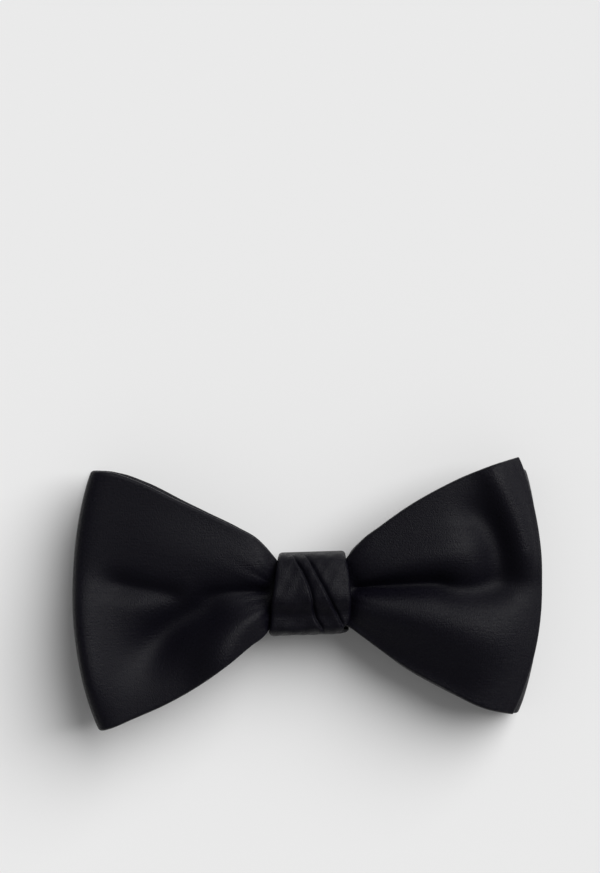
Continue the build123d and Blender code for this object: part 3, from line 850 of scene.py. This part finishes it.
def build_pad():
    """Make the wadding pad under the knot's front.

    At a bearing a and a rise u, x is cos(u)^0.6 times |cos a|^0.55, y is the same with sin a, each with its
    own sign, and z is sin u, less up to 12% towards the sides. It is scaled to a part of the CAD pad's box.
    """
    low, high = (np.array(corner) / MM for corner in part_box("knot_pad"))
    centre, half = (low + high) / 2 + PAD_SHIFT, (high - low) / 2 * PAD_SHARE
    across = np.linspace(0, TAU, 97)[:-1][:, None]
    up = np.linspace(-np.pi / 2, np.pi / 2, 41)[None, 1:-1]
    power = 0.55
    ring_x = np.sign(np.cos(across)) * np.abs(np.cos(across)) ** power
    ring_y = np.sign(np.sin(across)) * np.abs(np.sin(across)) ** power
    girth = np.cos(up) ** 0.6
    points = np.stack([ring_x * girth, ring_y * girth, np.sin(up) + 0 * ring_x], -1)
    points[..., 2] *= 1 - 0.12 * (points[..., 0] ** 2 + points[..., 1] ** 2) / 2
    points = centre + points * half
    rows, columns = points.shape[:2]
    index = np.arange(rows * columns).reshape(rows, columns)
    index = np.vstack([index, index[:1]])
    bottom, top = rows * columns, rows * columns + 1
    caps = [
        np.stack([np.full(rows, bottom), index[1:, 0], index[:-1, 0]], -1),
        np.stack([np.full(rows, top), index[:-1, -1], index[1:, -1]], -1),
    ]
    ends = np.array([centre - [0, 0, half[2]], centre + [0, 0, half[2]]])
    mapped = np.concatenate([points.reshape(-1, 3), ends])
    pad = make_object("knot_wadding_pad", mapped, [grid_quads(index), *caps], mapped[:, :2])
    finish_piece(pad, wadding_material(bpy.context.scene.bow_satin), "wadding", "knot_pad")
    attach(pad, "bow")


def build_spring(side, body):
    """Make one torsion spring: a straight leg, a helix about Y of 4.46 turns, and a second straight leg.

    At an angle a, measured from X towards Z, the coil is at x = 14.5 + 1.6 cos a, z = 4.6 + 1.6 sin a, and y
    falls evenly with a.
    """
    name = body.split("_")[0]
    first, last = np.radians(-80), np.radians(4 * 360 + 85)
    angle = np.linspace(first, last, 260)
    drop = COIL_PITCH * (angle - first) / TAU
    width = COIL_PITCH * (last - first) / TAU
    coil_x, coil_z = HINGE_X + COIL_RADIUS * np.cos(angle), HINGE_Z + COIL_RADIUS * np.sin(angle)
    coil = np.stack([coil_x, width / 2 - drop, coil_z], -1)
    jaw_way = [-np.cos(JAW_SLOPE), 0, -np.sin(JAW_SLOPE)]
    plate_way = [-np.cos(PLATE_SLOPE), 0, np.sin(PLATE_SLOPE)]
    jaw_leg = np.linspace(JAW_LEG, 0, 30)[:-1, None] * jaw_way + coil[0]
    plate_leg = np.linspace(0, PLATE_LEG, 16)[1:, None] * plate_way + coil[-1]
    path = np.concatenate([jaw_leg, coil, plate_leg])
    path[:, 0] *= side
    spring = make_tube(f"{name}_wire_spring", path, WIRE_RADIUS)
    steel = plating_material("Spring wire", bpy.context.scene.bow_clip.wire, 0.34, 0.2)
    finish_piece(spring, steel, "spring_steel", f"{name}_spring")
    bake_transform(spring)


class BOW_OT_blades(bpy.types.Operator):
    """Build the front and rear blades of the bow"""

    bl_idname = "bow.blades"
    bl_label = "Blades"

    def execute(self, context):
        for name in BLADES:
            build_blade(name)
        return {"FINISHED"}


class BOW_OT_knot(bpy.types.Operator):
    """Build the knot band, its interlining and its pad"""

    bl_idname = "bow.knot"
    bl_label = "Knot"

    def execute(self, context):
        build_knot()
        build_pad()
        return {"FINISHED"}


class BOW_OT_stitching(bpy.types.Operator):
    """Finish the sewing thread round the waist and behind the knot"""

    bl_idname = "bow.stitching"
    bl_label = "Stitching"

    def execute(self, context):
        for node in ("waist_thread", "knot_closure_stitches"):
            finish_piece(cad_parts[node], thread_material(), "sewing_thread")
        return {"FINISHED"}


class BOW_OT_clip(bpy.types.Operator):
    """Finish the plated clip and its hinge pins, and build the springs"""

    bl_idname = "bow.clip"
    bl_label = "Clip"

    def execute(self, context):
        clip = context.scene.bow_clip
        for node in ("clip_base", "left_jaw", "right_jaw"):
            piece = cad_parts[node]
            finish_piece(piece, plating_material("Clip plating", clip.plating, 0.26, clip.wear), "clip_steel")
        for node in ("left_hinge_pin", "right_hinge_pin"):
            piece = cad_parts[node]
            finish_piece(piece, plating_material("Pin plating", clip.plating, 0.18, 0.2), "pin_steel")
        build_spring(-1, "left_jaw")
        build_spring(1, "right_jaw")
        return {"FINISHED"}


class BOW_OT_stage(bpy.types.Operator):
    """Set out the pale floor, the large key light, the fill and the camera straight above"""

    bl_idname = "bow.stage"
    bl_label = "Stage"

    def execute(self, context):
        stage = context.scene.bow_stage
        mesh = bpy.data.meshes.new("floor")
        low, high = -FLOOR_HALF, FLOOR_HALF
        corners = [(low, low, 0), (high, low, 0), (high, high, 0), (low, high, 0)]
        mesh.from_pydata(corners, [], [(0, 1, 2, 3)])
        floor = bpy.data.objects.new("floor", mesh)
        context.scene.collection.objects.link(floor)
        paint = bpy.data.materials.new("floor_paint")
        paint.use_nodes = True
        shader = paint.node_tree.nodes["Principled BSDF"]
        shader.inputs["Base Color"].default_value = (*stage.floor, 1)
        shader.inputs["Roughness"].default_value = 1.0
        shader.inputs["Specular IOR Level"].default_value = 0.0
        mesh.materials.append(paint)

        key = bpy.data.lights.new("key", "SUN")
        key.energy = stage.key
        key.angle = stage.softness
        lamp = bpy.data.objects.new("key", key)
        context.scene.collection.objects.link(lamp)
        lamp.rotation_euler = Vector(KEY_WAY).to_track_quat("Z", "Y").to_euler()

        world = bpy.data.worlds.new("fill")
        world.use_nodes = True
        sky = world.node_tree.nodes["Background"]
        sky.inputs["Color"].default_value = (1, 1, 1, 1)
        sky.inputs["Strength"].default_value = stage.fill
        context.scene.world = world
        context.scene.view_settings.view_transform = "Standard"

        lens = bpy.data.cameras.new("above")
        lens.lens = 100
        lens.sensor_width = 36
        lens.clip_start = 0.01
        camera = bpy.data.objects.new("above", lens)
        camera.location = (CAMERA_X, CAMERA_Y, stage.height)
        camera.rotation_euler = (0, 0, CAMERA_ROLL)
        context.scene.collection.objects.link(camera)
        context.scene.camera = camera
        return {"FINISHED"}


class BOW_PT_panel(bpy.types.Panel):
    """Everything that makes the bow tie"""

    bl_idname = "BOW_PT_panel"
    bl_label = "Bow tie"
    bl_space_type = "VIEW_3D"
    bl_region_type = "UI"
    bl_category = "Bow tie"

    def draw(self, context):
        scene = context.scene
        for settings in (scene.bow_satin, scene.bow_folds, scene.bow_clip, scene.bow_stage):
            box = self.layout.box()
            for name in settings.__annotations__:
                box.prop(settings, name)
        for operator in OPERATORS:
            self.layout.operator(operator.bl_idname)


OPERATORS = (BOW_OT_stage, BOW_OT_blades, BOW_OT_knot, BOW_OT_stitching, BOW_OT_clip)
SETTINGS = {
    "bow_satin": SatinSettings, "bow_folds": FoldSettings,
    "bow_clip": ClipSettings, "bow_stage": StageSettings,
}


def register():
    """Register the settings, the operators and the panel."""
    for cls in (*SETTINGS.values(), *OPERATORS, BOW_PT_panel):
        bpy.utils.register_class(cls)
    for name, cls in SETTINGS.items():
        setattr(bpy.types.Scene, name, PointerProperty(type=cls))


def unregister():
    """Take the panel, the operators and the settings away again."""
    for name in SETTINGS:
        delattr(bpy.types.Scene, name)
    for cls in (BOW_PT_panel, *reversed(OPERATORS), *reversed(SETTINGS.values())):
        bpy.utils.unregister_class(cls)


def main():
    """Build everything in order."""
    register()
    bpy.ops.bow.stage()
    bpy.ops.bow.blades()
    bpy.ops.bow.knot()
    bpy.ops.bow.stitching()
    bpy.ops.bow.clip()


if __name__ == "__main__":
    main()
